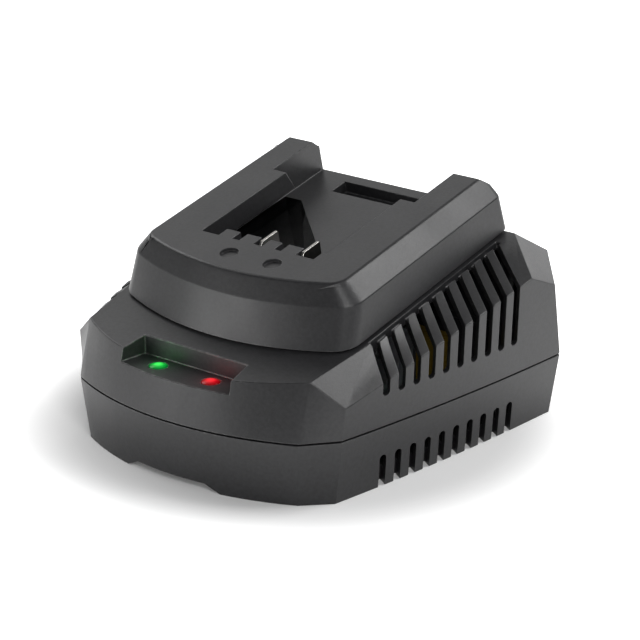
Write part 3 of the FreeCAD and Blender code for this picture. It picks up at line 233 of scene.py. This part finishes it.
def soft_lamp(name, way, distance, width, height, watts):
    """Soft lamp, width by height in metres, that shines at the charger from the direction way."""
    data = bpy.data.lights.new(name, "AREA")
    data.shape = "RECTANGLE"
    data.size = width
    data.size_y = height
    data.energy = watts
    lamp = bpy.data.objects.new(name, data)
    out = Vector(way).normalized()
    lamp.location = AIM + out * distance
    lamp.rotation_euler = out.to_track_quat("Z", "Y").to_euler()
    bpy.context.scene.collection.objects.link(lamp)
    print(name, watts, "W")


soft_lamp("front_strip", (-0.52, -0.85, 0.13), 0.9, 0.5, 0.12, 1.7)
soft_lamp("left_lamp", (-0.80, 0.05, 0.60), 0.9, 0.4, 0.4, 2.0)
soft_lamp("back_left_lamp", (-0.52, 0.58, 0.62), 1.0, 0.8, 0.6, 1.3)
soft_lamp("back_right_lamp", (0.50, 0.44, 0.75), 0.9, 0.42, 0.36, 4.0)
soft_lamp("back_strip", (-0.10, 0.96, 0.24), 0.9, 0.5, 0.2, 1.0)
soft_lamp("front_right_lamp", (0.60, -0.54, 0.55), 0.9, 0.3, 0.25, 2.8)


ROOM_DIM, ROOM_OVERHEAD = 0.08, 0.12
HORIZON_FROM, HORIZON_TO = -0.02, 0.07


def light_room(dim, overhead):
    """The room is dim as a light and seen in mirrors as white up to the horizon, overhead above."""
    world = bpy.data.worlds.new("room")
    bpy.context.scene.world = world
    world.use_nodes = True
    tree = world.node_tree

    def join(kind, values, output=0, **settings):
        made = tree.nodes.new("ShaderNode" + kind)
        for name, value in settings.items():
            setattr(made, name, value)
        for name, value in values.items():
            if isinstance(value, bpy.types.NodeSocket):
                tree.links.new(value, made.inputs[name])
            else:
                made.inputs[name].default_value = value
        return made.outputs[output]

    path = tree.nodes.new("ShaderNodeLightPath").outputs
    seen = join("Math", {0: path["Is Camera Ray"], 1: path["Is Glossy Ray"]}, operation="MAXIMUM")
    seen = join("Math", {0: seen, 1: path["Is Transmission Ray"]}, operation="MAXIMUM")
    up = join("SeparateXYZ", {0: join("TexCoord", {})}, "Z")
    shown = join("MapRange", {"Value": up, "From Min": HORIZON_FROM, "From Max": HORIZON_TO,
                              "To Min": 1.0, "To Max": overhead}, interpolation_type="SMOOTHSTEP")
    level = join("MapRange", {"Value": seen, "To Min": dim, "To Max": shown})
    tree.links.new(level, tree.nodes["Background"].inputs["Strength"])
    tree.nodes["Background"].inputs["Color"].default_value = (1.0, 1.0, 1.0, 1.0)


light_room(ROOM_DIM, ROOM_OVERHEAD)
print("room", ROOM_DIM, "as a light")

# %% [markdown]
# The case and the cradle are injection moulded in charcoal plastic. The mould gives a fine matte
# grain, the colour is faintly mottled, and the sharp edges are a lighter grey, partly from wear where
# handling polishes them and partly as a painted highlight, most of all round the light recess. A
# picture could hold all that, but noise in the piece's own space has no seams and any detail.

# %% Moulded plastic
RECESS_MIDDLE = (0.0, -0.053, 0.034)
RECESS_REACH = 0.028
PLASTIC_DARK = (0.015, 0.015, 0.016)
PLASTIC_ROUGHNESS = 0.39


def moulded_plastic(name, dark, light, wear_and_highlight_tint, roughness):
    """Mottled between dark and light, and lighter on its edges from wear and a painted highlight,
    most of all round the light recess.
    """
    finish = Finish(name, {"Specular IOR Level": 0.5})
    mottle = finish.noise(1.1 * MM, 3.0)
    cloud = finish.noise(18 * MM, 2.0)
    grain = finish.noise(0.42 * MM, 2.0)
    shade = finish.ramp(mottle * 0.7 + cloud * 0.3, ((0.36, 0.0), (0.66, 1.0)))
    plastic = finish.blend(shade, dark, light)
    edge_breakup = finish.ramp(finish.noise(1.6 * MM, 3.0), ((0.35, 0.15), (0.65, 1.0)))
    from_recess = finish.node("VectorMath", {"operation": "DISTANCE"},
                              {0: finish.place, 1: RECESS_MIDDLE}, "Value")
    recess_boost = finish.ramp(from_recess / RECESS_REACH, ((0.80, 1.0), (1.0, 0.30)))
    # The edges are painted lighter, partly as wear and partly as a painted highlight, strongest round
    # the recess.
    wear_and_highlight = finish.edges(0.5 * MM) * edge_breakup * recess_boost
    finish.set("Base Color", finish.blend(wear_and_highlight, plastic, wear_and_highlight_tint))
    finish.set("Roughness", roughness + 0.16 * (cloud - 0.5) + 0.12 * (grain - 0.5) - 0.08 * wear_and_highlight)
    finish.bump(grain * 0.8 + mottle * 0.4, 0.045 * MM, 0.55)
    return finish.material


# The last colour is the lighter grey of the edges' wear and painted highlight.
case_plastic = moulded_plastic("case_plastic", PLASTIC_DARK, (0.025, 0.025, 0.027),
                               (0.22, 0.22, 0.22), PLASTIC_ROUGHNESS)
cradle_plastic = moulded_plastic("cradle_plastic", PLASTIC_DARK, (0.024, 0.024, 0.026),
                                 (0.20, 0.20, 0.20), PLASTIC_ROUGHNESS)
print("plastics:", case_plastic.name, cradle_plastic.name)

# %% [markdown]
# A real moulding has no razor edges. Each big moulding is copied, its loose triangles are merged and
# flat areas joined, and every sharp edge gets a small two-step bevel. A live Bevel modifier would do
# the same, but choosing the sharp edges first keeps the bevel off the gentle curves. Weighted
# normals then keep the broad faces looking flat up to the rounding.

# %% Softened copies of the mouldings
MERGE_WITHIN = 0.002 * MM
FLAT_WITHIN = math.radians(0.5)


def merged_copy(node, name):
    """A copy of a node whose triangles are joined into faces."""
    bpy.ops.object.select_all(action="DESELECT")
    bpy.context.view_layer.objects.active = nodes[node]
    nodes[node].select_set(True)
    bpy.ops.object.duplicate()
    piece = bpy.context.object
    piece.name = name
    for key in list(piece.keys()):
        del piece[key]
    bpy.ops.object.mode_set(mode="EDIT")
    bpy.ops.mesh.select_all(action="SELECT")
    bpy.ops.mesh.remove_doubles(threshold=MERGE_WITHIN)
    bpy.ops.mesh.dissolve_limited(angle_limit=FLAT_WITHIN)
    bpy.ops.mesh.select_all(action="DESELECT")
    bpy.ops.mesh.select_mode(type="EDGE")
    return piece


def round_over(piece, wanted, width, least_turn):
    """Rounds the edges that wanted picks by their two ends, if they turn by least_turn degrees."""
    mesh = bmesh.from_edit_mesh(piece.data)
    for edge in mesh.edges:
        turned = len(edge.link_faces) == 2 and edge.calc_face_angle() > math.radians(least_turn)
        edge.select_set(turned and wanted(edge.verts[0].co / MM, edge.verts[1].co / MM))
    print(piece.name, "rounded edges", sum(edge.select for edge in mesh.edges))
    bmesh.update_edit_mesh(piece.data)
    bpy.ops.mesh.bevel(offset=width, segments=4, profile=0.5, affect="EDGES", clamp_overlap=False)
    bpy.ops.mesh.select_all(action="DESELECT")


def soften(piece, width, sharp_from, smooth_to=35.0):
    """Bevels the edges that turn by more than sharp_from degrees; the piece is in edit mode."""
    bpy.ops.mesh.edges_select_sharp(sharpness=math.radians(sharp_from))
    bpy.ops.mesh.bevel(offset=width, segments=2, profile=0.6, affect="EDGES", clamp_overlap=False,
                       miter_outer="SHARP")
    bpy.ops.object.mode_set(mode="OBJECT")
    bpy.ops.object.shade_smooth_by_angle(angle=math.radians(smooth_to))
    weigh = piece.modifiers.new("weigh", "WEIGHTED_NORMAL")
    weigh.keep_sharp = True
    weigh.weight = 80
    bpy.ops.object.modifier_apply(modifier=weigh.name)


def stand_for(piece, node, material):
    """The piece stands in the node's place, wears the material, hangs under the root body and hides
    the node.
    """
    piece.data.materials.clear()
    piece.data.materials.append(material)
    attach(piece, "root")
    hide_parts(node)
    print(piece.name, "faces", len(piece.data.polygons))


# %% [markdown]
# The cradle's brow, between its top and the chamfer round it, is rounder than the other edges, and
# the edge below that chamfer turns too little to be found by its angle. Both are picked by where they
# lie in the cradle, which is tilted. They could be marked by hand in edit mode, but a rule still
# finds them when the pieces are made again.

# %% Edges with a larger rounding
TILT = math.radians(12.06)
SEAT_Y, SEAT_Z = -8.6, 44.9
# What follows is in mm, in the cradle's own frame.
BROW_LOWEST, BROW_LAST = 17.3, 55.0
RAIL_FROM = 34.0
FRONT_TIP, FRONT_BOW_RADIUS, FRONT_MARGIN = -21.5, 97.0, 1.5
BELT_HEIGHT, BELT_WITHIN = 11.8, 0.1


def in_cradle(point):
    """The point's place along the cradle and its height above the cradle's seat, in mm."""
    y, z = point.y - SEAT_Y, point.z - SEAT_Z
    return y * math.cos(TILT) + z * math.sin(TILT), z * math.cos(TILT) - y * math.sin(TILT)


def is_cradle_brow(*ends):
    """The edge between the cradle's top and the chamfer round it."""
    for point in ends:
        along, height = in_cradle(point)
        in_front = along < FRONT_TIP + point.x ** 2 / (2 * FRONT_BOW_RADIUS) + FRONT_MARGIN
        on_rim = in_front or abs(point.x) > RAIL_FROM
        if height < BROW_LOWEST or along > BROW_LAST or not on_rim:
            return False
    return True


def is_cradle_belt(*ends):
    """The edge between the cradle's outer wall and its chamfer."""
    heights = [in_cradle(point)[1] for point in ends]
    return max(abs(height - BELT_HEIGHT) for height in heights) < BELT_WITHIN


# %% Housing, tray and cradle
MOULDED_EDGE = 0.30 * MM
SHARP_FROM = 22.0
mouldings = (
    ("upper_housing", case_plastic, ()),
    ("base_tray", case_plastic, ()),
    ("battery_cradle", cradle_plastic,
     ((is_cradle_brow, 0.7 * MM, 12.0), (is_cradle_belt, 0.3 * MM, 3.0))),
)
for node, material, roundings in mouldings:
    moulding = merged_copy(node, node + "_moulding")
    for wanted, width, least_turn in roundings:
        round_over(moulding, wanted, width, least_turn)
    soften(moulding, MOULDED_EDGE, SHARP_FROM)
    stand_for(moulding, node, material)

# %% [markdown]
# The contact blades are stamped from plated strip. Plating is a soft mirror with faint lengthwise
# brush marks and more polished, smoother edges, which a painted highlight makes brighter, so the
# finish is metallic with stretched noise. An Anisotropic value could draw the marks too, but the
# export keeps only colour, gloss and relief.

# %% Plated metal
def plated_metal(name, tint, edge_highlight_tint, roughness):
    """Brushed plating that is smoother on its edges, where a painted highlight makes it brighter."""
    finish = Finish(name, {"Metallic": 1.0})
    brush = finish.noise(1.2 * MM, 4.0, stretch=(6.0, 1.0, 6.0))
    cloud = finish.noise(4 * MM)
    # The edge mask makes the colour brighter as a painted highlight, and the gloss smoother.
    edge = finish.edges(0.2 * MM)
    dull = finish.blend(cloud, tint, tuple(0.82 * c for c in tint))
    finish.set("Base Color", finish.blend(edge, dull, edge_highlight_tint))
    finish.set("Roughness", roughness + 0.15 * (brush - 0.5) + 0.1 * (cloud - 0.5) - 0.1 * edge)
    finish.bump(brush, 0.006 * MM, 0.5)
    return finish.material


# The second colour is the painted highlight on the edges.
contact_metal = plated_metal("contact_metal", (0.40, 0.39, 0.37), (0.62, 0.61, 0.58), 0.30)
screw_steel = plated_metal("screw_steel", (0.45, 0.45, 0.46), (0.62, 0.62, 0.62), 0.38)
for node in ("terminal_positive", "terminal_negative"):
    blade = merged_copy(node, node + "_blade")
    soften(blade, 0.12 * MM, SHARP_FROM)
    stand_for(blade, node, contact_metal)

# %% [markdown]
# Each signal light is a clear tinted dome over a lit chip. Its middle is almost white, and its rim
# falls off to the deep tint. The dome glows by its own emission, whose colour changes with the
# distance from the lamp's axis. A tiny lamp over each dome throws the coloured light on the recess,
# because light from the dome's own small face comes out grainy.

# %% Signal lights
def lit_dome(name, node, core, body, rim):
    """A glowing dome that goes from core in its middle through body to rim."""
    low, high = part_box(node)
    middle = ((low.x + high.x) / 2, (low.y + high.y) / 2, high.z)
    radius = (high.x - low.x) / 2
    finish = Finish(name, {"Base Color": rim, "Roughness": 0.30, "Specular IOR Level": 0.25,
                           "Emission Strength": 1.0})
    moved = finish.node("VectorMath", {"operation": "SUBTRACT"},
                        {0: finish.place, 1: middle}, "Vector")
    flat = finish.node("VectorMath", {"operation": "MULTIPLY"},
                       {0: moved, 1: (1.0, 1.0, 0.35)}, "Vector")
    away = finish.node("VectorMath", {"operation": "LENGTH"}, {0: flat}, "Value") / radius
    outer = finish.ramp(away, ((0.30, 0.0), (0.95, 1.0)))
    inner = finish.ramp(away, ((0.05, 1.0), (0.55, 0.0)))
    ripple = 0.9 + 0.2 * finish.noise(0.8 * MM)
    glow = finish.blend(outer, body, rim)
    finish.set("Emission Color", finish.blend(inner * ripple, glow, core))
    return finish.material


green_light = lit_dome("green_light", "light_green", (0.08, 0.95, 0.14), (0.0, 0.50, 0.04),
                       (0.0, 0.05, 0.01))
red_light = lit_dome("red_light", "light_red", (1.0, 0.04, 0.05), (0.62, 0.0, 0.01),
                     (0.06, 0.0, 0.0))
for node, material in (("light_green", green_light), ("light_red", red_light)):
    dome = merged_copy(node, node + "_dome")
    soften(dome, 0.1 * MM, 30.0, 50.0)
    stand_for(dome, node, material)


SPILL_WATTS = 0.0010
SPILL_HEIGHT = 2.5 * MM


def spill(name, node, tint):
    """A tiny coloured lamp over a signal light, for the glow that it throws on the recess."""
    data = bpy.data.lights.new(name, "POINT")
    data.color = tint
    data.energy = SPILL_WATTS
    data.shadow_soft_size = 1.0 * MM
    lamp = bpy.data.objects.new(name, data)
    low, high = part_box(node)
    lamp.location = ((low.x + high.x) / 2, (low.y + high.y) / 2, high.z + SPILL_HEIGHT)
    lamp.visible_glossy = False
    bpy.context.scene.collection.objects.link(lamp)


spill("green_spill", "light_green", (0.02, 1.0, 0.15))
spill("red_spill", "light_red", (1.0, 0.03, 0.05))
print("glow on the recess:", SPILL_WATTS, "W a light")

# %% [markdown]
# Inside the case sit the electronics, seen only through the cooling slots. Their pieces already have
# the right shapes, so they keep them and only get finishes: dipped coatings, resin, ferrite, wire and
# bare aluminium. One recipe with a few numbers covers the plain ones.

# %% Plain finishes for the parts inside
def plain_finish(name, tint, roughness, grain_size, relief, metallic=0.0, stretch=None):
    """Two close tints, uneven gloss and a fine relief, all from noise."""
    finish = Finish(name, {"Metallic": metallic})
    cloud = finish.noise(3 * MM)
    grain = finish.noise(grain_size, 3.0, stretch=stretch)
    finish.set("Base Color", finish.blend(cloud, tint, tuple(0.7 * c for c in tint)))
    finish.set("Roughness", roughness + 0.2 * (grain - 0.5) + 0.1 * (cloud - 0.5))
    finish.bump(grain, relief)
    return finish.material


WAVE_PITCH = 0.314  # metres from band to band in a wave texture whose scale is 1


def banded_finish(name, tint, gap_tint, pitch, roughness, metallic=0.0):
    """Fine parallel turns, as on a winding."""
    finish = Finish(name, {"Metallic": metallic})
    turns = finish.node("TexWave", {"bands_direction": "Z"},
                        {"Vector": finish.place, "Scale": WAVE_PITCH / pitch, "Distortion": 0.6})
    finish.set("Base Color", finish.blend(turns, gap_tint, tint))
    finish.set("Roughness", roughness + 0.15 * (finish.noise(1.5 * MM) - 0.5))
    finish.bump(turns, 0.12 * MM)
    return finish.material


def board_laminate_finish(name):
    """Green mask over glass cloth, with lighter tracks where copper lies below."""
    finish = Finish(name, {"Coat Weight": 0.3})
    cells = finish.node("TexBrick", {"offset": 0.37, "squash": 0.6},
                        {"Vector": finish.place, "Scale": 140.0, "Mortar Size": 0.03}, "Fac")
    weave = finish.node("TexChecker", {}, {"Vector": finish.place, "Scale": 1600.0}, "Fac")
    mask = finish.blend(cells, (0.010, 0.075, 0.030), (0.030, 0.150, 0.060))
    finish.set("Base Color", finish.blend(weave * 0.15, mask, (0.02, 0.05, 0.02)))
    finish.set("Roughness", 0.32 + 0.12 * finish.noise(2 * MM))
    finish.bump(cells + weave * 0.2, 0.03 * MM)
    return finish.material


def fuse_glass_finish(name):
    """Clear glass with a faint haze."""
    finish = Finish(name, {"Transmission Weight": 0.85, "IOR": 1.5})
    haze = finish.noise(2 * MM)
    finish.set("Base Color", finish.blend(haze, (0.92, 0.95, 0.95), (0.80, 0.84, 0.84)))
    finish.set("Roughness", 0.05 + 0.1 * haze)
    finish.bump(haze, 0.01 * MM)
    return finish.material


finishes = {
    "case_plastic": case_plastic,
    "cradle_plastic": cradle_plastic,
    "contact_metal": contact_metal,
    "screw_steel": screw_steel,
    "green_light": green_light,
    "red_light": red_light,
    "black_resin": plain_finish("black_resin", (0.024, 0.024, 0.026), 0.42, 0.3 * MM, 0.02 * MM),
    "board_laminate": board_laminate_finish("board_laminate"),
    "white_nylon": plain_finish("white_nylon", (0.76, 0.74, 0.68), 0.45, 0.5 * MM, 0.02 * MM),
    "fuse_glass": fuse_glass_finish("fuse_glass"),
    "blue_coating": plain_finish("blue_coating", (0.04, 0.13, 0.40), 0.28, 1.5 * MM, 0.08 * MM),
    "yellow_resin": plain_finish("yellow_resin", (0.24, 0.16, 0.02), 0.30, 0.8 * MM, 0.02 * MM),
    "ferrite": plain_finish("ferrite", (0.09, 0.09, 0.10), 0.70, 0.25 * MM, 0.05 * MM),
    "copper_wire": banded_finish("copper_wire", (0.70, 0.30, 0.10), (0.20, 0.07, 0.02),
                                 0.6 * MM, 0.3, 0.8),
    "winding_tape": banded_finish("winding_tape", (0.05, 0.045, 0.04), (0.03, 0.027, 0.024),
                                  4 * MM, 0.25),
    "can_aluminium": banded_finish("can_aluminium", (0.09, 0.10, 0.13), (0.06, 0.07, 0.09),
                                   6 * MM, 0.3, 0.2),
    "heatsink_aluminium": plain_finish("heatsink_aluminium", (0.60, 0.61, 0.63), 0.38, 0.8 * MM,
                                       0.02 * MM, 1.0, (1.0, 0.15, 1.0)),
}
for name, tint in (("brown_insulation", (0.16, 0.06, 0.025)), ("red_insulation", (0.50, 0.03, 0.02)),
                   ("black_insulation", (0.02, 0.02, 0.02)),
                   ("white_insulation", (0.72, 0.72, 0.70))):
    finishes[name] = plain_finish(name, tint, 0.5, 0.6 * MM, 0.02 * MM)
for node, piece in nodes.items():
    for slot in piece.material_slots:
        slot.material = finishes[slot_of[node]]
print("finishes:", len(finishes))

# %% [markdown]
# The mains inlet shows at the back and the terminal block through the cradle's slots. Both are small
# mouldings, so they get softened edges as the case does, only finer, and keep their own finish.

# %% Mains inlet and terminal block
for node in ("mains_inlet", "terminal_block"):
    moulding = merged_copy(node, node + "_moulding")
    soften(moulding, 0.2 * MM, 25.0)
    stand_for(moulding, node, finishes[slot_of[node]])
